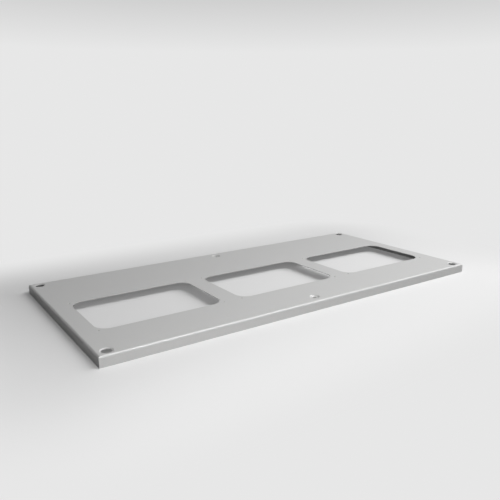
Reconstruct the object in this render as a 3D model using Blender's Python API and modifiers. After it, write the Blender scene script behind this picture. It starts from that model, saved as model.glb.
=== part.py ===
"""A folded sheet-steel roof plate for a floor-standing enclosure, with three cut-outs for cable entries.

Metres, +Z up. The plate lies on the lower edges of its flanges at z = 0, and the origin is the centre of
its outline there. +X runs along the long side and +Y towards the back of the enclosure. The top of the
sheet is at z = FLANGE_HEIGHT.
"""

import math
from typing import NamedTuple

import bmesh
import bpy
from mathutils import Matrix, Vector

# The folded sheet
PLATE_WIDTH = 1.200
PLATE_DEPTH = 0.567
FLANGE_HEIGHT = 0.026
SHEET = 0.0015
FOLD_INSIDE_RADIUS = 0.0035

# Cut-outs for the cable entries, in one row, with a pilot hole at the sharp corner of each
CUTOUT_COUNT = 3
CUTOUT_DEPTH = 0.214
CUTOUT_CORNER_RADIUS = 0.033
CUTOUT_FROM_FRONT = 0.1315
END_MARGIN = 0.0475
WEB_WIDTH = 0.0545
PILOT_HOLE_DIAMETER = 0.0045

# Recesses drawn into the sheet. A ledge is the flat ring of floor between the hole and the wall's fold.
RECESS_WALL_ANGLE = math.radians(38)
RIM_INSIDE_RADIUS = 0.0005
FLOOR_INSIDE_RADIUS = 0.0005
CORNER_RECESS_FROM_END = 0.025
CORNER_RECESS_FROM_SIDE = 0.022
CORNER_RECESS_SINK = 0.0018
CORNER_RECESS_LEDGE = 0.0010
CORNER_HOLE_DIAMETER = 0.023
MIDDLE_RECESS_FROM_SIDE = 0.032
MIDDLE_RECESS_SINK = 0.0036
MIDDLE_RECESS_LEDGE = 0.0045
MIDDLE_HOLE_DIAMETER = 0.009

# Foamed sealing bead under the sheet
SEAL_WIDTH = 0.010
SEAL_HEIGHT = 0.006
SEAL_INSET = 0.018
SEAL_TURN_RADIUS = 0.015
SEAL_RECESS_CLEARANCE = 0.002

# Welded stud for the protective earth, under the sheet
STUD_THREAD_DIAMETER = 0.008
STUD_LENGTH = 0.016
STUD_CHAMFER = 0.001
STUD_COLLAR_DIAMETER = 0.0105
STUD_COLLAR_HEIGHT = 0.001
STUD_FROM_LEFT = 0.150
STUD_FROM_BACK = 0.110

SEAT_GAP = 0.0003  # between a piece and the sheet that carries it
CUT_REACH = 0.002  # how far a cutter runs past the face it leaves
FACE_LAP = 0.00002  # how far a recess's surfaces start inside or above the sheet's faces

FOLD_SEGMENTS = 4
CUTOUT_SEGMENTS = 8
RECESS_STEPS = 30
RIM_SEGMENTS = 3
FLOOR_SEGMENTS = 2
PILOT_SIDES = 12
STUD_STEPS = 24
SEAL_PROFILE_STEPS = 8
SEAL_TURN_STEP = math.radians(15)

QUARTER_TURN = math.radians(90)
SIGNS = (-1, 1)
SHEET_UNDERSIDE = FLANGE_HEIGHT - SHEET
FOLD_RADIUS = FOLD_INSIDE_RADIUS + SHEET
RIM_RADIUS = RIM_INSIDE_RADIUS + SHEET
CUTOUT_WIDTH = (PLATE_WIDTH - 2 * END_MARGIN - (CUTOUT_COUNT - 1) * WEB_WIDTH) / CUTOUT_COUNT
CUTOUT_PITCH = CUTOUT_WIDTH + WEB_WIDTH


def arc(centre, radius, start, end, steps):
    """Points from angle start to angle end about a centre, both ends included."""
    angles = (start + (end - start) * step / steps for step in range(steps + 1))
    return [(centre[0] + radius * math.cos(a), centre[1] + radius * math.sin(a)) for a in angles]


class Recess(NamedTuple):
    """A round recess with a hole in its floor. Sections are (radius, z) points, z from the sheet's top."""

    name: str
    places: list
    sink: float
    ledge: float
    hole_diameter: float

    @property
    def hole_radius(self):
        return self.hole_diameter / 2

    @property
    def floor_radius(self):
        """Where the flat floor begins to fold up into the wall."""
        return self.hole_radius + self.ledge

    @property
    def rim_radius(self):
        """Where the wall's fold runs out into the flat sheet."""
        wall_run = (self.sink + FACE_LAP) / math.tan(RECESS_WALL_ANGLE)
        fold_runs = (FLOOR_INSIDE_RADIUS + RIM_RADIUS) * math.tan(RECESS_WALL_ANGLE / 2)
        return self.floor_radius + wall_run + fold_runs

    def wall(self, below):
        """The surface from rim to floor, at a depth of below into the sheet's thickness."""
        rim_centre = self.rim_radius, FACE_LAP - RIM_RADIUS
        floor_centre = self.floor_radius, FLOOR_INSIDE_RADIUS - self.sink
        lean = QUARTER_TURN + RECESS_WALL_ANGLE
        rim_fold = arc(rim_centre, RIM_RADIUS - below, QUARTER_TURN, lean, RIM_SEGMENTS)
        floor_radius = FLOOR_INSIDE_RADIUS + below
        floor_fold = arc(floor_centre, floor_radius, lean - math.pi, -QUARTER_TURN, FLOOR_SEGMENTS)
        return rim_fold + floor_fold

    def blank(self):
        """The drawn metal with no hollow yet, from the middle of the sheet's thickness downwards."""
        top = [(0, -SHEET / 2), (self.rim_radius, -SHEET / 2)]
        return top + self.wall(SHEET) + [(0, -self.sink - SHEET)]

    def hollow(self):
        """What is open inside the recess and through its hole."""
        mouth = [(0, CUT_REACH), (self.rim_radius, CUT_REACH)]
        through = -self.sink - SHEET - CUT_REACH
        hole = [(self.hole_radius, -self.sink), (self.hole_radius, through), (0, through)]
        return mouth + self.wall(0) + hole


def both_ways(x, y):
    """A place mirrored about both centre lines, front pair first."""
    return [(i * x, j * y) for j in SIGNS for i in SIGNS]


CORNER_RECESS = Recess(
    "corner_recess",
    both_ways(PLATE_WIDTH / 2 - CORNER_RECESS_FROM_END, PLATE_DEPTH / 2 - CORNER_RECESS_FROM_SIDE),
    CORNER_RECESS_SINK,
    CORNER_RECESS_LEDGE,
    CORNER_HOLE_DIAMETER,
)
MIDDLE_RECESS = Recess(
    "middle_recess",
    [(0, j * (PLATE_DEPTH / 2 - MIDDLE_RECESS_FROM_SIDE)) for j in SIGNS],
    MIDDLE_RECESS_SINK,
    MIDDLE_RECESS_LEDGE,
    MIDDLE_HOLE_DIAMETER,
)


def clear_scene():
    for thing in list(bpy.data.objects):
        bpy.data.objects.remove(thing, do_unlink=True)


def new_collection(name, parent):
    group = bpy.data.collections.new(name)
    parent.children.link(group)
    return group


def new_material(name, colour, roughness, metallic):
    material = bpy.data.materials.new(name)
    material.use_nodes = True
    shader = material.node_tree.nodes["Principled BSDF"]
    shader.inputs["Base Color"].default_value = (*colour, 1)
    shader.inputs["Roughness"].default_value = roughness
    shader.inputs["Metallic"].default_value = metallic
    return material


def add_object(name, data, group, material=None, location=(0, 0, 0)):
    thing = bpy.data.objects.new(name, data)
    thing.location = location
    if material:
        data.materials.append(material)
    group.objects.link(thing)
    return thing


def make_guide(thing):
    """Keeps a cutter or a profile out of renders."""
    thing.hide_render = True
    thing.display_type = "WIRE"


def mesh_from(name, shape):
    mesh = bpy.data.meshes.new(name)
    shape.to_mesh(mesh)
    shape.free()
    return mesh


def block(width, depth, height):
    """A box centred on the origin, with its scale already in the mesh."""
    shape = bmesh.new()
    bmesh.ops.create_cube(shape, size=1, matrix=Matrix.Diagonal((width, depth, height, 1)))
    return shape


def add_turned(name, section, steps, group, material=None, location=(0, 0, 0)):
    """Turns a section, given as (radius, z) points from top to bottom, about its own Z axis."""
    shape = bmesh.new()
    points = [shape.verts.new((radius, 0, z)) for radius, z in section]
    for start, end in zip(points, points[1:]):
        shape.edges.new((start, end))
    thing = add_object(name, mesh_from(name, shape), group, material, location)
    turn = thing.modifiers.new("Turn", "SCREW")
    turn.steps = turn.render_steps = steps
    turn.use_merge_vertices = True
    turn.merge_threshold = 0.00001
    turn.use_smooth_shade = True
    return thing


def add_recess_tools(recess, material, blanks, cutters):
    """The blank joined on below the sheet for each recess of a kind, and the cutter for its hollow."""
    tools = (("blank", recess.blank(), blanks), ("cutter", recess.hollow(), cutters))
    for number, (x, y) in enumerate(recess.places, 1):
        for word, section, group in tools:
            name = f"{recess.name}_{word}_{number}"
            make_guide(add_turned(name, section, RECESS_STEPS, group, material, (x, y, FLANGE_HEIGHT)))


def round_edges(shape, edges, radius, segments):
    bmesh.ops.bevel(shape, geom=edges, offset=radius, segments=segments, profile=0.5, affect="EDGES")


def rounded_block(width, depth, height, corner_radius):
    shape = block(width, depth, height)
    upright = [edge for edge in shape.edges if abs(edge.verts[0].co.z - edge.verts[1].co.z) > height / 2]
    round_edges(shape, upright, corner_radius, CUTOUT_SEGMENTS)
    return shape


def drill(radius, length):
    shape = bmesh.new()
    bmesh.ops.create_cone(
        shape, cap_ends=True, segments=PILOT_SIDES, radius1=radius, radius2=radius, depth=length
    )
    return shape


def add_opening_cutters(material, cutters):
    """The cut-outs in a row along the plate, and the pilot holes at their sharp corners."""
    length = SHEET + 2 * CUT_REACH
    middle = CUTOUT_FROM_FRONT + CUTOUT_DEPTH / 2 - PLATE_DEPTH / 2
    for number in range(CUTOUT_COUNT):
        across = (number - (CUTOUT_COUNT - 1) / 2) * CUTOUT_PITCH
        centre = Vector((across, middle, FLANGE_HEIGHT - SHEET / 2))
        name = f"cutout_{number + 1}"
        opening = rounded_block(CUTOUT_WIDTH, CUTOUT_DEPTH, length, CUTOUT_CORNER_RADIUS)
        make_guide(add_object(name, mesh_from(name, opening), cutters, material, centre))
        for corner, (x, y) in enumerate(both_ways(CUTOUT_WIDTH / 2, CUTOUT_DEPTH / 2), 1):
            name = f"pilot_hole_{number + 1}_{corner}"
            bit = mesh_from(name, drill(PILOT_HOLE_DIAMETER / 2, length))
            make_guide(add_object(name, bit, cutters, material, centre + Vector((x, y, 0))))


def open_pan():
    """The outside of the sheet: a box with no floor, whose top edges are folds mitred at the corners."""
    shape = block(PLATE_WIDTH, PLATE_DEPTH, FLANGE_HEIGHT)
    bmesh.ops.translate(shape, vec=(0, 0, FLANGE_HEIGHT / 2), verts=shape.verts)
    floor = [face for face in shape.faces if face.normal.z < -0.5]
    bmesh.ops.delete(shape, geom=floor, context="FACES")
    top = [edge for edge in shape.edges if min(vert.co.z for vert in edge.verts) > FLANGE_HEIGHT / 2]
    round_edges(shape, top, FOLD_RADIUS, FOLD_SEGMENTS)
    return shape


def add_roof_plate(parts, guides):
    """One sheet folded down on all four sides, its corner seams welded and dressed flush."""
    painted = new_material("painted_sheet", (0.56, 0.56, 0.555), 0.42, 0)
    plate = add_object("roof_plate", mesh_from("roof_plate", open_pan()), parts, painted)
    wall = plate.modifiers.new("Sheet", "SOLIDIFY")
    wall.thickness = SHEET
    wall.offset = -1
    wall.use_even_offset = True

    blanks = new_collection("recess_blanks", guides)
    cutters = new_collection("sheet_cutters", guides)
    for recess in (CORNER_RECESS, MIDDLE_RECESS):
        add_recess_tools(recess, painted, blanks, cutters)
    add_opening_cutters(painted, cutters)
    for name, operation, group in (("Draw", "UNION", blanks), ("Cut", "DIFFERENCE", cutters)):
        step = plate.modifiers.new(name, "BOOLEAN")
        step.operation = operation
        step.operand_type = "COLLECTION"
        step.collection = group
        step.solver = "EXACT"
    plate.data.shade_smooth()
    plate.data.set_sharp_from_angle(angle=math.radians(30))


def turn_arc(centre, radius, start, end):
    steps = max(1, round(abs(end - start) / SEAL_TURN_STEP))
    return arc(centre, radius, start, end, steps)


def seal_quarter():
    """One quarter of the bead's centre line, from the middle of the back side to the right side.

    It runs along each side at SEAL_INSET and swings inboard round every recess, so that no fixing hole
    opens into the sealed space. Each swing is an arc about the recess, led in and out by an arc of
    SEAL_TURN_RADIUS.
    """
    lead_x = PLATE_WIDTH / 2 - SEAL_INSET - SEAL_TURN_RADIUS
    lead_y = PLATE_DEPTH / 2 - SEAL_INSET - SEAL_TURN_RADIUS
    edge_gap = SEAL_RECESS_CLEARANCE + SEAL_WIDTH / 2

    recess = MIDDLE_RECESS.places[-1]
    swing_radius = MIDDLE_RECESS.rim_radius + edge_gap
    rise = lead_y - recess[1]
    lead_out = math.sqrt((swing_radius + SEAL_TURN_RADIUS) ** 2 - rise**2), lead_y
    swing_end = math.atan2(rise, lead_out[0])
    route = turn_arc(recess, swing_radius, -QUARTER_TURN, swing_end)
    route += turn_arc(lead_out, SEAL_TURN_RADIUS, swing_end + math.pi, QUARTER_TURN)

    recess = CORNER_RECESS.places[-1]
    swing_radius = CORNER_RECESS.rim_radius + edge_gap
    reach = swing_radius + SEAL_TURN_RADIUS
    along_back = math.asin((recess[1] - lead_y) / reach)
    along_side = math.asin((recess[0] - lead_x) / reach)
    lead_in = recess[0] - reach * math.cos(along_back), lead_y
    lead_out = lead_x, recess[1] - reach * math.cos(along_side)
    to_side = QUARTER_TURN - along_side
    route += turn_arc(lead_in, SEAL_TURN_RADIUS, QUARTER_TURN, along_back)
    route += turn_arc(recess, swing_radius, math.pi + along_back, math.pi + to_side)
    route += turn_arc(lead_out, SEAL_TURN_RADIUS, to_side, 0)
    return route


def seal_route():
    """The whole closed route, made from the quarter by mirroring it about both centre lines."""
    quarter = seal_quarter()
    half = quarter + [(x, -y) for x, y in reversed(quarter)]
    other = [(-x, y) for x, y in reversed(half)]
    return half + other[1:-1]


def add_path(name, points, closed, group, material=None, location=(0, 0, 0)):
    """A curve through (x, y) points with straight runs between them."""
    curve = bpy.data.curves.new(name, "CURVE")
    line = curve.splines.new("POLY")
    line.points.add(len(points) - 1)
    for point, (x, y) in zip(line.points, points):
        point.co = (x, y, 0, 1)
    line.use_cyclic_u = closed
    return add_object(name, curve, group, material, location)


def add_sealing_bead(parts, guides):
    """The foamed bead: a flat side against the sheet and a round back, swept round the route."""
    foam = new_material("sealing_foam", (0.035, 0.035, 0.037), 0.9, 0)
    half_ring = arc((0, 0), 1, 0, -math.pi, SEAL_PROFILE_STEPS)
    outline = [(across * SEAL_WIDTH / 2, up * SEAL_HEIGHT) for across, up in half_ring]
    section = add_path("seal_section", outline, True, guides)
    section.data.dimensions = "2D"
    make_guide(section)

    place = (0, 0, SHEET_UNDERSIDE - SEAT_GAP)
    bead = add_path("sealing_bead", seal_route(), True, parts, foam, place)
    bead.data.dimensions = "3D"
    bead.data.twist_mode = "Z_UP"
    bead.data.bevel_mode = "OBJECT"
    bead.data.bevel_object = section


def add_earth_stud(parts):
    """The stud, without its thread's turns, pointing down from its weld collar."""
    steel = new_material("coppered_steel", (0.62, 0.42, 0.3), 0.35, 1)
    thread, collar = STUD_THREAD_DIAMETER / 2, STUD_COLLAR_DIAMETER / 2
    section = [
        (0, 0),
        (collar, 0),
        (collar, -STUD_COLLAR_HEIGHT),
        (thread, -STUD_COLLAR_HEIGHT),
        (thread, STUD_CHAMFER - STUD_LENGTH),
        (thread - STUD_CHAMFER, -STUD_LENGTH),
        (0, -STUD_LENGTH),
    ]
    x, y = STUD_FROM_LEFT - PLATE_WIDTH / 2, PLATE_DEPTH / 2 - STUD_FROM_BACK
    place = (x, y, SHEET_UNDERSIDE - SEAT_GAP)
    stud = add_turned("earth_stud", section, STUD_STEPS, parts, steel, place)
    stud.data.set_sharp_from_angle(angle=math.radians(30))


def main():
    clear_scene()
    parts = new_collection("enclosure_roof_plate", bpy.context.scene.collection)
    guides = new_collection("cutters_and_profiles", bpy.context.scene.collection)
    add_roof_plate(parts, guides)
    add_sealing_bead(parts, guides)
    add_earth_stud(parts)


main()
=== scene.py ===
"""An enclosure roof plate of folded sheet steel in a plain studio, laid out as a Blender add-on.

Metres, +Z up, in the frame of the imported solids: the plate lies on its flanges at z = 0, with +X along its
long side and +Y towards its back. The fine sheet, the foamed seal and the threaded stud are built here, and
each takes the place of its plain solid.
"""

import math
import random

import bmesh
import bpy
from bpy.props import FloatProperty, FloatVectorProperty, IntProperty, PointerProperty
from bpy.types import Operator, Panel, PropertyGroup
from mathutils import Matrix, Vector


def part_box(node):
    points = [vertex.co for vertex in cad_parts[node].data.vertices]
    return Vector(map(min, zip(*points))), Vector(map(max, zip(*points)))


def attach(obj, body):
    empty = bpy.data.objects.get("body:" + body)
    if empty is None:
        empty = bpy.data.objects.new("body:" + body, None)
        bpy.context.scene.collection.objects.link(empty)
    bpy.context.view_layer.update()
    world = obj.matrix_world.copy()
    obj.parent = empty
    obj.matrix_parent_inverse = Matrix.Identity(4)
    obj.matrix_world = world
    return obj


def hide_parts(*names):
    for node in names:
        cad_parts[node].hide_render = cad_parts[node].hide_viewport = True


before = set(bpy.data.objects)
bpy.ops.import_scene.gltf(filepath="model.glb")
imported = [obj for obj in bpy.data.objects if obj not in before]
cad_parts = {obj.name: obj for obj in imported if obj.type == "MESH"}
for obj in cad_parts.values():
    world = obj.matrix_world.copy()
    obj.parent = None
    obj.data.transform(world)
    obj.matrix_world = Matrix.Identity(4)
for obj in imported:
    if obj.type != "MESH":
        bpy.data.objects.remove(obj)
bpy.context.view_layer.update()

bl_info = {
    "name": "Enclosure roof plate",
    "version": (1, 0, 0),
    "blender": (4, 5, 0),
    "location": "3D View > Sidebar > Roof plate",
    "description": "Builds a folded roof plate with cable cut-outs, its seal, its earth stud and a studio",
    "category": "Object",
}

QUARTER_TURN = math.radians(90)
FULL_TURN = math.radians(360)

# Points this close together are merged, and a bonded piece stands this little off the sheet.
MERGE = 0.000002
NO_GAP = 0.00002

# Facets over a cut edge, over the outside and inside of a recess's folds, in a quarter of a pilot hole, over
# the bead, round the stud, and down one turn of its thread.
EDGE_STEPS = 3
OUTER_STEPS, INNER_STEPS = 6, 4
PILOT_STEPS = 6
BEAD_STEPS = 22
STUD_STEPS, THREAD_STEPS = 64, 12

# A 60 degree thread: how deep it is cut, its flat crest and its two flanks, all as shares of its pitch.
THREAD_DEPTH, CREST_FLAT, FLANKS = 0.613, 0.125, 0.625

SHEET_LOW, SHEET_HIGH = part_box("roof_plate")
SHEET_SIZE = SHEET_HIGH - SHEET_LOW
STUD_LOW, STUD_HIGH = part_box("earth_stud")


def length(name, default, description):
    return FloatProperty(
        name=name, default=default, description=description, unit="LENGTH", min=0, precision=5
    )


def turn(name, default, description):
    return FloatProperty(name=name, default=default, description=description, subtype="ANGLE")


def share(name, default, description):
    return FloatProperty(name=name, default=default, description=description, min=0, max=1)


def colour(name, default, description):
    return FloatVectorProperty(
        name=name, default=default, description=description, subtype="COLOR", min=0, max=1
    )


class SheetSizes(PropertyGroup):
    """The folded sheet, its cut-outs and its recesses."""

    width: length("Width", SHEET_SIZE.x, "Along the long side, over the flanges")
    depth: length("Depth", SHEET_SIZE.y, "From the front flange to the back flange")
    height: length("Flange height", SHEET_SIZE.z, "From the flanges' lower edges to the top")
    sheet: length("Sheet", 0.0015, "Thickness of the steel")
    fold_inside: length("Fold inside radius", 0.0035, "Inner radius of the four folds")
    dressed: length("Dressed corner", 0.0009, "Radius of a welded corner once it is ground flush")
    weld_fillet: length("Weld fillet", 0.0007, "Radius of the weld inside a corner")
    edge: length("Cut edge", 0.0003, "Radius that the powder coat gives a cut edge")
    cutout_count: IntProperty(name="Cut-outs", default=3, min=1, description="Cut-outs in the row")
    cutout_depth: length("Cut-out depth", 0.214, "Each cut-out, front to back")
    cutout_corner: length("Cut-out corner", 0.033, "Corner radius of a cut-out")
    cutout_from_front: length("Cut-outs from front", 0.1315, "Front edge of the plate to the cut-outs")
    end_margin: length("End margin", 0.0475, "End of the plate to the first cut-out")
    web: length("Web", 0.0545, "Sheet left between two cut-outs")
    pilot: length("Pilot hole", 0.0045, "Diameter of the hole at each cut-out's corner")
    wall_angle: turn("Recess wall", math.radians(38), "Slope of a recess's drawn wall")
    rim_inside: length("Rim inside radius", 0.0005, "Inner radius of the fold at a recess's rim")
    floor_inside: length("Floor inside radius", 0.0005, "Inner radius of the fold at its floor")
    corner_from_end: length("Corner recess from end", 0.025, "End of the plate to the recess's centre")
    corner_from_side: length("Corner recess from side", 0.022, "Side of the plate to its centre")
    corner_sink: length("Corner recess sink", 0.0018, "How deep the corner recesses are drawn")
    corner_ledge: length("Corner recess ledge", 0.0010, "Flat ring round a corner hole")
    corner_hole: length("Corner hole", 0.023, "Diameter of the corner holes")
    middle_from_side: length("Middle recess from side", 0.032, "Side of the plate to its centre")
    middle_sink: length("Middle recess sink", 0.0036, "How deep the middle recesses are drawn")
    middle_ledge: length("Middle recess ledge", 0.0045, "Flat ring round a middle hole")
    middle_hole: length("Middle hole", 0.009, "Diameter of the middle holes")
    fold_steps: IntProperty(name="Fold steps", default=10, min=2, description="Facets across a fold")
    round_steps: IntProperty(name="Round steps", default=24, min=4, description="Facets in a quarter turn")


class SealSizes(PropertyGroup):
    """The foamed sealing bead under the sheet."""

    width: length("Width", 0.010, "Across the bead, at the sheet")
    height: length("Height", 0.006, "How far it stands down from the sheet")
    inset: length("Inset", 0.018, "Edge of the plate to the bead's centre line")
    turn_radius: length("Turn radius", 0.015, "Where the bead swings in and out")
    clearance: length("Clearance", 0.002, "From a recess's rim to the bead")
    step: length("Step", 0.0025, "Length of bead between two sections")
    wander: share("Wander", 0.05, "How unevenly the foam was poured, as a share of its size")


class StudSizes(PropertyGroup):
    """The weld stud for the protective earth."""

    thread: length("Thread", 0.008, "Outer diameter of the thread")
    pitch: length("Pitch", 0.00125, "From one turn of the thread to the next")
    chamfer: length("Chamfer", 0.001, "At the stud's tip")
    collar: length("Collar", 0.0105, "Diameter of the weld collar")
    collar_height: length("Collar height", 0.001, "Thickness of the weld collar")


class PaintLooks(PropertyGroup):
    """The fine-textured powder coat, the foam and the copper."""

    paint: colour("Paint", (0.56, 0.56, 0.555), "Light grey powder coat")
    paint_roughness: share("Paint roughness", 0.34, "Semi-gloss")
    paint_gloss: share("Paint gloss", 1.0, "How strongly the coat mirrors, where 0.5 is plain plastic")
    foam: colour("Foam", (0.035, 0.035, 0.037), "Dark grey foamed seal")
    copper: colour("Copper", (0.62, 0.42, 0.3), "Copper flash on the weld stud")


class StudioSizes(PropertyGroup):
    """The floor, the lamps and the camera."""

    floor: share("Floor", 0.8, "How pale the floor and backdrop look")
    floor_glow: share("Floor glow", 0.18, "How far the floor round the plate keeps an even tone of its own")
    upper_tone: share("Upper tone", 0.35, "How pale the backdrop is overhead, as a share of the floor")
    floor_bounce: share("Floor bounce", 0.09, "How much light the floor throws back up")
    camera_place: FloatVectorProperty(
        name="Camera", default=(-0.9237, -1.2848, 0.5053), description="Where it stands", subtype="XYZ"
    )
    camera_dip: turn("Camera dip", math.radians(14.374), "How far it looks down")
    camera_turn: turn("Camera turn", math.radians(34.684), "How far it is turned to the right of +Y")
    lens: FloatProperty(name="Lens", default=39.38, description="Focal length in mm, 36 mm sensor")


class Value:
    """One output of a node. Arithmetic on it adds Math nodes, so that a rule reads as an expression."""

    def __init__(self, nodes, socket):
        self.nodes = nodes
        self.socket = socket

    def output(self, name):
        return Value(self.nodes, self.socket.node.outputs[name])

    def __add__(self, other):
        return self.nodes.maths("ADD", self, other)

    def __radd__(self, other):
        return self.nodes.maths("ADD", other, self)

    def __sub__(self, other):
        return self.nodes.maths("SUBTRACT", self, other)

    def __rsub__(self, other):
        return self.nodes.maths("SUBTRACT", other, self)

    def __mul__(self, other):
        return self.nodes.maths("MULTIPLY", self, other)

    def __rmul__(self, other):
        return self.nodes.maths("MULTIPLY", other, self)

    def __lt__(self, other):
        return self.nodes.maths("LESS_THAN", self, other)

    def __gt__(self, other):
        return self.nodes.maths("GREATER_THAN", self, other)


class Nodes:
    """The nodes of one material or one geometry tree."""

    def __init__(self, tree):
        self.tree = tree
        tree.nodes.clear()

    def add(self, kind, settings=None, inputs=None):
        """A new node. Its settings go first, then a value, a link or a list of links for each input."""
        node = self.tree.nodes.new(kind)
        for name, setting in (settings or {}).items():
            if name == "stops":
                set_stops(node.color_ramp, setting)
            else:
                setattr(node, name, setting)
        for name, given in (inputs or {}).items():
            socket = find_socket(node.inputs, name)
            for one in given if isinstance(given, list) else [given]:
                if isinstance(one, Value):
                    self.tree.links.new(one.socket, socket)
                else:
                    socket.default_value = one
        return Value(self, find_socket(node.outputs, 0)) if node.outputs else None

    def maths(self, operation, *values):
        return self.add("ShaderNodeMath", {"operation": operation}, dict(enumerate(values)))

    def noise(self, place, scale, detail=2, roughness=0.5):
        sizes = {"Vector": place, "Scale": scale, "Detail": detail, "Roughness": roughness}
        return self.add("ShaderNodeTexNoise", None, sizes)

    def mix(self, share_of_second, first, second):
        """A colour between two."""
        sockets = {"Factor": share_of_second, "A": first, "B": second}
        return self.add("ShaderNodeMix", {"data_type": "RGBA"}, sockets)


def find_socket(sockets, name):
    """The socket of that name, or at that number, among those that the node's settings leave in use."""
    used = [socket for socket in sockets if socket.enabled]
    if isinstance(name, int):
        return used[name]
    return next(socket for socket in used if socket.name == name)


def set_stops(ramp, stops):
    while len(ramp.elements) < len(stops):
        ramp.elements.new(1)
    for element, (position, value) in zip(ramp.elements, stops):
        element.position = position
        element.color = (value, value, value, 1)


def new_object(name, data):
    thing = bpy.data.objects.new(name, data)
    bpy.context.scene.collection.objects.link(thing)
    return thing


def new_mesh(name, shape):
    mesh = bpy.data.meshes.new(name)
    shape.to_mesh(mesh)
    shape.free()
    return mesh


def arc(centre, radius, start, end, steps):
    """Points from angle start to angle end about a centre, both ends included."""
    angles = (start + (end - start) * step / steps for step in range(steps + 1))
    return [(centre[0] + radius * math.cos(a), centre[1] + radius * math.sin(a)) for a in angles]


def rounded_ring(half_x, half_y, radius, z, steps):
    """Points round a rectangle with rounded corners, anticlockwise from above, as many at any radius."""
    points = []
    for quarter, (i, j) in enumerate(((1, 1), (-1, 1), (-1, -1), (1, -1))):
        centre = i * (half_x - radius), j * (half_y - radius)
        start = quarter * QUARTER_TURN
        points += arc(centre, radius, start, start + QUARTER_TURN, steps)
    return [(x, y, z) for x, y in points]


def circle_ring(radius, z, steps):
    return rounded_ring(radius, radius, radius, z, steps)


def banded(rings, faces_in=False):
    """A surface through rings of points that run anticlockwise, from the top one to the last."""
    shape = bmesh.new()
    rows = [[shape.verts.new(point) for point in ring] for ring in rings]
    for upper, lower in zip(rows, rows[1:]):
        for near in range(len(upper)):
            far = (near + 1) % len(upper)
            corners = [upper[near], lower[near], lower[far], upper[far]]
            shape.faces.new(reversed(corners) if faces_in else corners)
    bmesh.ops.remove_doubles(shape, verts=shape.verts, dist=MERGE)
    return shape


def finish_mesh(thing):
    """Applies what modifiers are left, so that the piece is a plain mesh, and removes them."""
    graph = bpy.context.evaluated_depsgraph_get()
    mesh = bpy.data.meshes.new_from_object(thing.evaluated_get(graph), depsgraph=graph)
    mesh.name = thing.name
    thing.modifiers.clear()
    thing.data = mesh
    return thing


def check_closed(thing):
    """Raises an error unless the piece is closed, with its faces pointing out."""
    shape = bmesh.new()
    shape.from_mesh(thing.data)
    loose = sum(not edge.is_manifold for edge in shape.edges)
    volume = shape.calc_volume(signed=True)
    shape.free()
    if loose or volume <= 0:
        raise RuntimeError(f"{thing.name}: {loose} open edges, volume {volume * 1e9:.0f} mm3")


def seat_piece(thing, node):
    """Puts a finished piece in place of its plain solid, on the one body that there is."""
    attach(thing, "root")
    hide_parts(node)
    return thing


class GeometryRecipe(Nodes):
    """A Geometry Nodes tree with named inputs, which ends in Realize Instances and Set Material."""

    def __init__(self, name, inputs):
        super().__init__(bpy.data.node_groups.new(name, "GeometryNodeTree"))
        self.tree.interface.new_socket("Geometry", in_out="OUTPUT", socket_type="NodeSocketGeometry")
        for label, kind in inputs.items():
            socket_type = f"NodeSocket{kind}"
            self.tree.interface.new_socket(label, in_out="INPUT", socket_type=socket_type)
        self.given = self.add("NodeGroupInput")

    def end(self, geometry):
        real = self.add("GeometryNodeRealizeInstances", None, {"Geometry": geometry})
        smooth = self.add("GeometryNodeSetShadeSmooth", None, {"Geometry": real})
        coated = {"Geometry": smooth, "Material": self.given.output("Material")}
        self.add("NodeGroupOutput", None, {"Geometry": self.add("GeometryNodeSetMaterial", None, coated)})

    def make(self, name, values):
        """The plain mesh object that the tree makes from these values."""
        thing = new_object(name, bpy.data.meshes.new(name))
        recipe = thing.modifiers.new(name, "NODES")
        recipe.node_group = self.tree
        for item in self.tree.interface.items_tree:
            if item.in_out == "INPUT":
                recipe[item.identifier] = values[item.name]
        return finish_mesh(thing)


def edge_rings(sizes):
    """The sheet's outer edge as rings: the fold, the flange, its lower edge and the same way up inside."""
    fold = sizes.fold_inside + sizes.sheet
    edge, sheet = sizes.edge, sizes.sheet
    centre = -fold, sizes.height - fold
    outer = arc(centre, fold, QUARTER_TURN, 0, sizes.fold_steps)
    outer += arc((-edge, edge), edge, 0, -QUARTER_TURN, EDGE_STEPS)
    inner = arc((edge - sheet, edge), edge, -QUARTER_TURN, -2 * QUARTER_TURN, EDGE_STEPS)
    inner += arc(centre, sizes.fold_inside, 0, QUARTER_TURN, sizes.fold_steps)
    faces = (outer, fold, sizes.dressed), (inner, sizes.fold_inside, sizes.weld_fillet)
    rings = []
    for section, bend, corner in faces:
        for out, z in section:
            risen = max(0, z - centre[1]) / bend
            radius = corner * (1 - risen)
            rings.append(
                rounded_ring(sizes.width / 2 + out, sizes.depth / 2 + out, radius, z, sizes.fold_steps)
            )
    return rings


def cut_section(sizes, sink=0):
    """A cut through the sheet as (distance into the metal, z) points, with its edges slightly rounded."""
    edge, top, under = sizes.edge, sizes.height - sink, sizes.height - sink - sizes.sheet
    section = arc((edge, top - edge), edge, QUARTER_TURN, 2 * QUARTER_TURN, EDGE_STEPS)
    return section + arc((edge, under + edge), edge, 2 * QUARTER_TURN, 3 * QUARTER_TURN, EDGE_STEPS)


def corner_recess(sizes):
    return sizes.corner_sink, sizes.corner_ledge, sizes.corner_hole


def middle_recess(sizes):
    return sizes.middle_sink, sizes.middle_ledge, sizes.middle_hole


def rim_radius(sizes, sink, ledge, hole):
    """From a recess's centre to where its rim starts to fold down."""
    folds = sizes.floor_inside + (sizes.rim_inside + sizes.sheet)
    wall_run = sink / math.tan(sizes.wall_angle)
    return hole / 2 + ledge + wall_run + folds * math.tan(sizes.wall_angle / 2)


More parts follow.
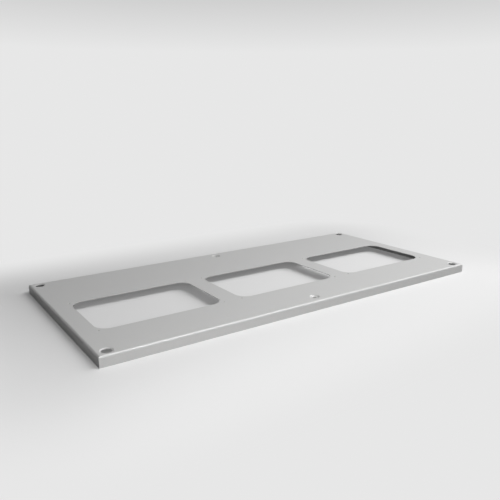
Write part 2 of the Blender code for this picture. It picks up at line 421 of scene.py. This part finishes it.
def recess_rings(sizes, sink, ledge, hole):
    """A drawn recess as rings: rim, wall, floor and hole, then back up its underside to the rim."""
    rim, floor = sizes.rim_inside + sizes.sheet, sizes.floor_inside
    lean = QUARTER_TURN + sizes.wall_angle
    foot = lean - 2 * QUARTER_TURN
    rim_centre = rim_radius(sizes, sink, ledge, hole), sizes.height - rim
    floor_centre = hole / 2 + ledge, sizes.height - sink + floor
    above = arc(rim_centre, rim, QUARTER_TURN, lean, OUTER_STEPS)
    above += arc(floor_centre, floor, foot, -QUARTER_TURN, INNER_STEPS)
    below = arc(floor_centre, floor + sizes.sheet, -QUARTER_TURN, foot, OUTER_STEPS)
    below += arc(rim_centre, sizes.rim_inside, lean, QUARTER_TURN, INNER_STEPS)
    cut = [(hole / 2 + into, z) for into, z in cut_section(sizes, sink)]
    return [circle_ring(radius, z, sizes.round_steps) for radius, z in above + cut + below]


def sheet_recipe():
    """Sets the cut-outs, pilot holes and recesses in their rows, then fills the flat sheet between them."""
    shapes = ("Edge", "Cut-out", "Pilot hole", "Corner recess", "Middle recess")
    places = ("Pitch", "Cut-out width", "Cut-out depth", "Row Y", "Corner X", "Corner Y", "Middle Y")
    inputs = {name: "Object" for name in shapes}
    inputs |= {"Cut-outs": "Int"}
    inputs |= {name: "Float" for name in places + ("Top", "Sheet")}
    nodes = GeometryRecipe("sheet_with_openings", inputs | {"Material": "Material"})
    given = nodes.given.output

    def shape_of(name):
        return nodes.add("GeometryNodeObjectInfo", None, {"Object": given(name)}).output("Geometry")

    def vector(x=0, y=0, z=0):
        return nodes.add("ShaderNodeCombineXYZ", None, {"X": x, "Y": y, "Z": z})

    def set_on(points, shape):
        return nodes.add("GeometryNodeInstanceOnPoints", None, {"Points": points, "Instance": shape})

    def joined(*shapes):
        return nodes.add("GeometryNodeJoinGeometry", None, {"Geometry": list(shapes)})

    def corners(width, depth):
        sides = {"Size X": width, "Size Y": depth, "Vertices X": 2, "Vertices Y": 2}
        return nodes.add("GeometryNodeMeshGrid", None, sides)

    pilots = set_on(corners(given("Cut-out width"), given("Cut-out depth")), shape_of("Pilot hole"))
    start = vector((given("Cut-outs") - 1) * given("Pitch") * -0.5, given("Row Y"))
    row = {"Count": given("Cut-outs"), "Start Location": start, "Offset": vector(given("Pitch"))}
    row = nodes.add("GeometryNodeMeshLine", {"mode": "OFFSET"}, row)
    cutouts = set_on(row, joined(shape_of("Cut-out"), pilots))
    corner_places = corners(given("Corner X") * 2, given("Corner Y") * 2)
    front, across = vector(y=given("Middle Y") * -1), vector(y=given("Middle Y") * 2)
    pair = {"Count": 2, "Start Location": front, "Offset": across}
    middle_places = nodes.add("GeometryNodeMeshLine", {"mode": "OFFSET"}, pair)
    recesses = (
        set_on(corner_places, shape_of("Corner recess")),
        set_on(middle_places, shape_of("Middle recess")),
    )
    placed = {"Geometry": joined(shape_of("Edge"), cutouts, *recesses)}
    bands = nodes.add("GeometryNodeRealizeInstances", None, placed)
    # An edge at the rim of a band has one face, and every other edge has two.
    open_edge = nodes.add("GeometryNodeInputMeshEdgeNeighbors") < 1.5
    z = nodes.add("ShaderNodeSeparateXYZ", None, {"Vector": nodes.add("GeometryNodeInputPosition")})
    upper = z.output("Z") > given("Top") - given("Sheet") * 0.5
    under = given("Top") - given("Sheet")
    flats = []
    for side, height in ((upper, given("Top")), (1 - upper, under)):
        loops = {"Mesh": bands, "Selection": open_edge * side}
        loops = nodes.add("GeometryNodeMeshToCurve", None, loops)
        flat = nodes.add("GeometryNodeFillCurve", {"mode": "NGONS"}, {"Curve": loops})
        raised = {"Geometry": flat, "Offset": vector(z=height)}
        flats.append(nodes.add("GeometryNodeSetPosition", None, raised))
    flats[1] = nodes.add("GeometryNodeFlipFaces", None, {"Mesh": flats[1]})
    merged = {"Geometry": joined(bands, *flats), "Distance": MERGE}
    nodes.end(nodes.add("GeometryNodeMergeByDistance", None, merged))
    return nodes


def build_sheet(sizes, paint):
    """The folded sheet with its drawn recesses, as one closed skin."""
    row_width = sizes.width - 2 * sizes.end_margin
    cutout_width = (row_width - (sizes.cutout_count - 1) * sizes.web) / sizes.cutout_count
    half_x, half_y = cutout_width / 2, sizes.cutout_depth / 2
    steps = sizes.round_steps
    cut, pilot = cut_section(sizes), sizes.pilot / 2
    corner = recess_rings(sizes, *corner_recess(sizes))
    middle = recess_rings(sizes, *middle_recess(sizes))
    bands = {
        "Edge": banded(edge_rings(sizes)),
        "Cut-out": banded(
            [
                rounded_ring(half_x + into, half_y + into, sizes.cutout_corner + into, z, steps)
                for into, z in cut
            ],
            faces_in=True,
        ),
        "Pilot hole": banded(
            [circle_ring(pilot + into, z, PILOT_STEPS) for into, z in cut], faces_in=True
        ),
        "Corner recess": banded(corner, faces_in=True),
        "Middle recess": banded(middle, faces_in=True),
    }
    helpers = {name: new_object(name, new_mesh(name, shape)) for name, shape in bands.items()}
    values = helpers | {
        "Cut-outs": sizes.cutout_count,
        "Pitch": cutout_width + sizes.web,
        "Cut-out width": cutout_width,
        "Cut-out depth": sizes.cutout_depth,
        "Row Y": sizes.cutout_from_front + half_y - sizes.depth / 2,
        "Corner X": sizes.width / 2 - sizes.corner_from_end,
        "Corner Y": sizes.depth / 2 - sizes.corner_from_side,
        "Middle Y": sizes.depth / 2 - sizes.middle_from_side,
        "Top": sizes.height,
        "Sheet": sizes.sheet,
        "Material": paint,
    }
    sheet = sheet_recipe().make("fine_sheet", values)
    for helper in helpers.values():
        bpy.data.meshes.remove(helper.data)
    check_closed(sheet)
    even = sheet.modifiers.new("Even shading", "WEIGHTED_NORMAL")
    even.weight = 100
    return seat_piece(finish_mesh(sheet), "roof_plate")


def seal_route(sheet, seal):
    """The bead's closed centre line. It swings inboard round every recess, so the holes stay outside it."""
    lead_x = sheet.width / 2 - seal.inset - seal.turn_radius
    lead_y = sheet.depth / 2 - seal.inset - seal.turn_radius
    gap = seal.clearance + seal.width / 2
    facet = math.radians(3)

    def turned(centre, radius, start, end):
        return arc(centre, radius, start, end, max(1, round(abs(end - start) / facet)))

    place = 0, sheet.depth / 2 - sheet.middle_from_side
    swing = rim_radius(sheet, *middle_recess(sheet)) + gap
    rise = lead_y - place[1]
    lead_out = math.sqrt((swing + seal.turn_radius) ** 2 - rise**2), lead_y
    swing_end = math.atan2(rise, lead_out[0])
    route = turned(place, swing, -QUARTER_TURN, swing_end)
    route += turned(lead_out, seal.turn_radius, swing_end + math.pi, QUARTER_TURN)

    place = sheet.width / 2 - sheet.corner_from_end, sheet.depth / 2 - sheet.corner_from_side
    swing = rim_radius(sheet, *corner_recess(sheet)) + gap
    reach = swing + seal.turn_radius
    along_back = math.asin((place[1] - lead_y) / reach)
    along_side = math.asin((place[0] - lead_x) / reach)
    lead_in = place[0] - reach * math.cos(along_back), lead_y
    lead_out = lead_x, place[1] - reach * math.cos(along_side)
    to_side = QUARTER_TURN - along_side
    route += turned(lead_in, seal.turn_radius, QUARTER_TURN, along_back)
    route += turned(place, swing, math.pi + along_back, math.pi + to_side)
    route += turned(lead_out, seal.turn_radius, to_side, 0)

    half = route + [(x, -y) for x, y in reversed(route)]
    return half + [(-x, y) for x, y in reversed(half)][1:-1]


def wire(name, points):
    """A closed line through (x, y) points, as a mesh without faces."""
    shape = bmesh.new()
    knots = [shape.verts.new((x, y, 0)) for x, y in points]
    for start, end in zip(knots, knots[1:] + knots[:1]):
        shape.edges.new((start, end))
    return new_object(name, new_mesh(name, shape))


def seal_recipe():
    """Carries the bead's section round its route, a little fuller here and thinner there."""
    inputs = {"Route": "Object", "Section": "Object", "Step": "Float", "Wander": "Float", "Top": "Float"}
    nodes = GeometryRecipe("poured_bead", inputs | {"Material": "Material"})
    given = nodes.given.output

    def line_of(name):
        shape = nodes.add("GeometryNodeObjectInfo", None, {"Object": given(name)})
        return nodes.add("GeometryNodeMeshToCurve", None, {"Mesh": shape.output("Geometry")})

    evenly = {"Curve": line_of("Route"), "Length": given("Step")}
    route = nodes.add("GeometryNodeResampleCurve", {"mode": "LENGTH"}, evenly)
    route = nodes.add("GeometryNodeSetCurveNormal", {"mode": "Z_UP"}, {"Curve": route})
    place = nodes.add("GeometryNodeInputPosition")
    surge = nodes.noise(place, scale=14, detail=2) - 0.5
    ripple = nodes.noise(place, scale=130, detail=1) - 0.5
    fullness = 1 + given("Wander") * (surge * 1.4 + ripple * 0.8)
    route = nodes.add("GeometryNodeSetCurveRadius", None, {"Curve": route, "Radius": fullness})
    swept = {"Curve": route, "Profile Curve": line_of("Section")}
    bead = nodes.add("GeometryNodeCurveToMesh", None, swept)
    up = nodes.add("ShaderNodeCombineXYZ", None, {"Z": given("Top")})
    nodes.end(nodes.add("GeometryNodeSetPosition", None, {"Geometry": bead, "Offset": up}))
    return nodes


def build_seal(sheet, seal, foam):
    """The foamed bead: its flat side on the sheet's underside and its back half round."""
    half_ring = arc((0, 0), 1, 0, math.pi, BEAD_STEPS)
    section = [(across * seal.width / 2, down * seal.height) for across, down in half_ring]
    route = wire("seal_route", seal_route(sheet, seal))
    profile = wire("seal_section", section)
    values = {
        "Route": route,
        "Section": profile,
        "Step": seal.step,
        "Wander": seal.wander,
        "Top": sheet.height - sheet.sheet - NO_GAP,
        "Material": foam,
    }
    bead = seal_recipe().make("foamed_bead", values)
    for helper in (route, profile):
        bpy.data.meshes.remove(helper.data)
    check_closed(bead)
    return seat_piece(bead, "sealing_bead")


def thread_depth(turns, sizes):
    """How far the thread is cut below its crest, as its groove passes."""
    away = abs(turns % 1 - 0.5) * 2
    return sizes.pitch * THREAD_DEPTH * min(1, max(0, (away - CREST_FLAT) / FLANKS))


def build_stud(sheet, sizes, steel):
    """The threaded stud, hanging down from its weld collar."""
    middle = (STUD_LOW + STUD_HIGH) / 2
    top = sheet.height - sheet.sheet - NO_GAP
    under = top - sizes.collar_height
    collar, crest = sizes.collar / 2, sizes.thread / 2
    tip = crest - sizes.chamfer
    ragged = 0.00012
    upper_round, side_round, lower_round = 0.0002, 0.0003, 0.0005
    fillet_drop, fillet = 0.0001, 0.0002
    neck_drop, neck = 0.0003, 0.00001
    thread_top = under - 0.0008
    rings = []

    def add_ring(z, radius_at):
        """A level ring. Each point's radius is worked out from its lap, how far round it is, 0 to 1."""
        ring = []
        for step in range(STUD_STEPS):
            angle = FULL_TURN * step / STUD_STEPS
            radius = radius_at(step / STUD_STEPS)
            ring.append((middle.x + radius * math.cos(angle), middle.y + radius * math.sin(angle), z))
        rings.append(ring)

    flash = random.Random(8)
    lumps = [(flash.uniform(0, 1), flash.choice((3, 5, 8, 11)), flash.uniform(0.2, 1)) for _ in range(5)]

    def collar_radius(lap):
        wave = sum(size * math.sin(FULL_TURN * (count * lap + phase)) for phase, count, size in lumps)
        return collar - ragged * (1 + wave / len(lumps))

    add_ring(top, lambda lap: 0)
    add_ring(top, lambda lap: collar_radius(lap) - upper_round)
    for drop in (0.15, 0.5, 0.8):
        drawn_in = side_round * (1 - math.sqrt(1 - (2 * drop - 1) ** 2))
        add_ring(top - sizes.collar_height * drop, lambda lap: collar_radius(lap) - drawn_in)
    add_ring(under, lambda lap: collar_radius(lap) - lower_round)
    add_ring(under - fillet_drop, lambda lap: crest + fillet)
    add_ring(under - neck_drop, lambda lap: crest - neck)
    low = STUD_LOW.z
    run = thread_top - low
    count = round(run / sizes.pitch * THREAD_STEPS)
    for row in range(count + 1):
        z = thread_top - run * row / count

        def radius_at(lap):
            turns = (under - z) / sizes.pitch + lap
            fade = min(1, row / THREAD_STEPS)
            cut = crest - thread_depth(turns, sizes) * fade
            return min(cut, tip + (z - low))

        add_ring(z, radius_at)
    add_ring(low, lambda lap: 0)
    stud = new_object("threaded_stud", new_mesh("threaded_stud", banded(rings)))
    stud.data.materials.append(steel)
    stud.data.shade_smooth()
    stud.data.set_sharp_from_angle(angle=math.radians(50))
    check_closed(stud)
    return seat_piece(stud, "earth_stud")


def new_material(name):
    """A material whose nodes are still to come, with the object's own coordinates."""
    material = bpy.data.materials.new(name)
    material.use_nodes = True
    nodes = Nodes(material.node_tree)
    return material, nodes, nodes.add("ShaderNodeTexCoord").output("Object")


def end_material(nodes, settings, bump=None):
    if bump is not None:
        settings = settings | {"Normal": bump}
    shader = nodes.add("ShaderNodeBsdfPrincipled", None, settings)
    nodes.add("ShaderNodeOutputMaterial", None, {"Surface": shader})


def tint(base, factor):
    return tuple(channel * factor for channel in base) + (1,)


def make_paint(looks):
    """Fine-textured powder coat: small pebbles about half a millimetre across over a faint orange peel."""
    material, nodes, place = new_material("powder_coat")
    broad = nodes.noise(place, scale=2.2, detail=3)
    peel = nodes.noise(place, scale=320, detail=2)
    grain = nodes.noise(place, scale=1700, detail=2, roughness=0.6)
    shade = nodes.mix(broad * 0.6 + grain * 0.4, tint(looks.paint, 0.965), tint(looks.paint, 1.035))
    roughness = looks.paint_roughness - 0.05 + broad * 0.06 + peel * 0.04
    height = peel * 0.4 + grain * 0.6
    bumped = {"Height": height, "Distance": 0.00003, "Strength": 0.6}
    bump = nodes.add("ShaderNodeBump", None, bumped)
    coat = {"Base Color": shade, "Roughness": roughness, "Specular IOR Level": looks.paint_gloss}
    end_material(nodes, coat, bump)
    return material


def make_foam(looks):
    """Polyurethane foam with its poured skin, pitted by small cavities, each painted darker inside as shade.
    """
    material, nodes, place = new_material("foam")
    cells = nodes.add("ShaderNodeTexVoronoi", None, {"Vector": place, "Scale": 900})
    pores_and_shade = nodes.add("ShaderNodeValToRGB", {"stops": [(0.1, 0), (0.42, 1)]}, {0: cells})
    skin = nodes.noise(place, scale=240, detail=3)
    # Painted shade: the colour is darkest in the pits, where the bump sinks in and shade would fall.
    shade = nodes.mix(pores_and_shade * 0.7 + skin * 0.3, tint(looks.foam, 0.55), tint(looks.foam, 1.35))
    height = pores_and_shade * 0.55 + skin * 0.8
    bumped = {"Height": height, "Distance": 0.00018, "Strength": 0.7}
    bump = nodes.add("ShaderNodeBump", None, bumped)
    end_material(nodes, {"Base Color": shade, "Roughness": 0.78 + skin * 0.2}, bump)
    return material


def make_copper(looks):
    """Copper flash over steel, worn thin in small patches."""
    material, nodes, place = new_material("copper_flash")
    patches = nodes.noise(place, scale=420, detail=4)
    fine = nodes.noise(place, scale=3500, detail=2)
    bare = nodes.add("ShaderNodeValToRGB", {"stops": [(0.5, 0), (0.66, 1)]}, {0: patches})
    steel = 0.5, 0.47, 0.44, 1
    shade = nodes.mix(bare * 0.5, tint(looks.copper, 1), steel)
    roughness = 0.28 + patches * 0.16 + fine * 0.08
    bump = nodes.add("ShaderNodeBump", None, {"Height": fine, "Distance": 0.00002, "Strength": 0.5})
    end_material(nodes, {"Base Color": shade, "Roughness": roughness, "Metallic": 1.0}, bump)
    return material


def make_backdrop(studio):
    """Pale where the camera or a reflection sees it, and darker where it lights the plate.

    Close to the plate it shows real light and shadow, and further off it passes into an even tone.
    """
    material, nodes, place = new_material("backdrop")
    path = nodes.add("ShaderNodeLightPath").output
    seen = nodes.maths("MAXIMUM", path("Is Camera Ray"), path("Is Glossy Ray"))
    seen = nodes.maths("MAXIMUM", seen, path("Is Transmission Ray"))
    pale, bounce = tint((studio.floor,) * 3, 1), tint((studio.floor_bounce,) * 3, 1)
    dusk_starts, dusk_ends = 1.2, 3.2
    fade_reach = 0.4
    height = nodes.add("ShaderNodeSeparateXYZ", None, {"Vector": place}).output("Z")
    rise = {"Value": height, "From Min": dusk_starts, "From Max": dusk_ends}
    tone = nodes.mix(nodes.add("ShaderNodeMapRange", None, rise), pale, tint(pale[:3], studio.upper_tone))

    def vector(operation, *given):
        return nodes.add("ShaderNodeVectorMath", {"operation": operation}, dict(enumerate(given)))

    beyond = vector("SUBTRACT", vector("ABSOLUTE", place), (SHEET_HIGH.x, SHEET_HIGH.y, 0))
    away = vector("LENGTH", vector("MAXIMUM", beyond, (0, 0, 0))).output("Value")
    spread = {"Value": away, "From Max": fade_reach, "To Min": studio.floor_glow}
    fade = nodes.add("ShaderNodeMapRange", {"interpolation_type": "SMOOTHSTEP"}, spread)
    lit = nodes.add("ShaderNodeBsdfDiffuse", None, {"Color": pale})
    even = nodes.add("ShaderNodeEmission", None, {"Color": tone, "Strength": 1.0})
    pale_shader = nodes.add("ShaderNodeMixShader", None, {0: fade, 1: lit, 2: even})
    dark = nodes.add("ShaderNodeBsdfDiffuse", None, {"Color": bounce})
    shader = nodes.add("ShaderNodeMixShader", None, {0: seen, 1: dark, 2: pale_shader})
    nodes.add("ShaderNodeOutputMaterial", None, {"Surface": shader})
    return material


def build_backdrop(studio):
    """A round floor that curves up into a wall all round, so that every view has the same ground."""
    flat, bend, wall = 3.5, 2.5, 4.0
    steps, just_below = 24, 0.0002
    section = [(0, 0)] + arc((flat, bend), bend, -QUARTER_TURN, 0, steps) + [(flat + bend, bend + wall)]
    rings = [circle_ring(radius, z - just_below, steps) for radius, z in reversed(section)]
    floor = new_object("studio_floor", new_mesh("studio_floor", banded(rings, faces_in=True)))
    floor.data.materials.append(make_backdrop(studio))
    floor.data.shade_smooth()


SOFTBOXES = {
    "front_strip": {"place": (0.5, -1.1, 1.7), "size": (1.6, 0.5), "power": 30},
    "front_low_softbox": {"place": (-0.6, -1.2, 0.45), "size": (0.6, 0.6), "power": 6.5},
    "right_softbox": {"place": (2.0, -0.7, 1.3), "size": (1.0, 1.0), "power": 14},
    "right_high_softbox": {"place": (1.35, 0.2, 1.6), "size": (0.4, 0.4), "power": 5},
    "back_fill": {"place": (0.6, 2.0, 0.22), "size": (1.8, 0.3), "power": 12},
}
NOT_MIRRORED = ("front_low_softbox", "back_fill")


def build_lamps():
    """Soft lamps that face the middle of the plate. The low ones leave no bright patch on its gloss."""
    for name, box in SOFTBOXES.items():
        lamp = bpy.data.lights.new(name, "AREA")
        lamp.shape = "RECTANGLE"
        lamp.size, lamp.size_y = box["size"]
        lamp.energy = box["power"]
        thing = new_object(name, lamp)
        thing.location = box["place"]
        thing.rotation_euler = (-thing.location).to_track_quat("-Z", "Y").to_euler()
        thing.visible_camera = False
        thing.visible_glossy = name not in NOT_MIRRORED


def build_studio(studio):
    scene = bpy.context.scene
    scene.view_settings.view_transform = "Standard"
    world = bpy.data.worlds.new("studio")
    scene.world = world
    world.use_nodes = True
    world.node_tree.nodes["Background"].inputs["Strength"].default_value = 0
    build_backdrop(studio)
    build_lamps()
    camera = bpy.data.cameras.new("camera")
    camera.lens = studio.lens
    thing = new_object("camera", camera)
    thing.location = studio.camera_place
    thing.rotation_euler = (QUARTER_TURN - studio.camera_dip, 0, -studio.camera_turn)
    scene.camera = thing


class ROOFPLATE_OT_build_sheet(Operator):
    """Build the folded sheet with its cut-outs, pilot holes and drawn recesses"""

    bl_idname = "roofplate.build_sheet"
    bl_label = "Build sheet"

    def execute(self, context):
        scene = context.scene
        build_sheet(scene.roof_sheet, make_paint(scene.roof_looks))
        return {"FINISHED"}


class ROOFPLATE_OT_build_seal(Operator):
    """Build the foamed sealing bead under the sheet"""

    bl_idname = "roofplate.build_seal"
    bl_label = "Build seal"

    def execute(self, context):
        scene = context.scene
        build_seal(scene.roof_sheet, scene.roof_seal, make_foam(scene.roof_looks))
        return {"FINISHED"}


class ROOFPLATE_OT_build_stud(Operator):
    """Build the threaded weld stud for the protective earth"""

    bl_idname = "roofplate.build_stud"
    bl_label = "Build stud"

    def execute(self, context):
        scene = context.scene
        build_stud(scene.roof_sheet, scene.roof_stud, make_copper(scene.roof_looks))
        return {"FINISHED"}


class ROOFPLATE_OT_build_stage(Operator):
    """Set up the floor, the lamps and the camera"""

    bl_idname = "roofplate.build_stage"
    bl_label = "Build stage"

    def execute(self, context):
        build_studio(context.scene.roof_studio)
        return {"FINISHED"}


class ROOFPLATE_PT_panel(Panel):
    """Lists the sizes and what builds each piece"""

    bl_label = "Roof plate"
    bl_space_type = "VIEW_3D"
    bl_region_type = "UI"
    bl_category = "Roof plate"

    def draw(self, context):
        for operator in OPERATORS:
            self.layout.operator(operator.bl_idname)
        for name in GROUPS:
            box = self.layout.box()
            group = getattr(context.scene, name)
            for setting in group.__annotations__:
                box.prop(group, setting)


OPERATORS = (
    ROOFPLATE_OT_build_sheet,
    ROOFPLATE_OT_build_seal,
    ROOFPLATE_OT_build_stud,
    ROOFPLATE_OT_build_stage,
)
GROUPS = {
    "roof_sheet": SheetSizes,
    "roof_seal": SealSizes,
    "roof_stud": StudSizes,
    "roof_looks": PaintLooks,
    "roof_studio": StudioSizes,
}
CLASSES = (*GROUPS.values(), *OPERATORS, ROOFPLATE_PT_panel)


def register():
    for group in CLASSES:
        bpy.utils.register_class(group)
    for name, group in GROUPS.items():
        setattr(bpy.types.Scene, name, PointerProperty(type=group))


def unregister():
    for name in GROUPS:
        delattr(bpy.types.Scene, name)
    for group in reversed(CLASSES):
        bpy.utils.unregister_class(group)


def main():
    register()
    bpy.ops.roofplate.build_sheet()
    bpy.ops.roofplate.build_seal()
    bpy.ops.roofplate.build_stud()
    bpy.ops.roofplate.build_stage()


if __name__ == "__main__":
    main()
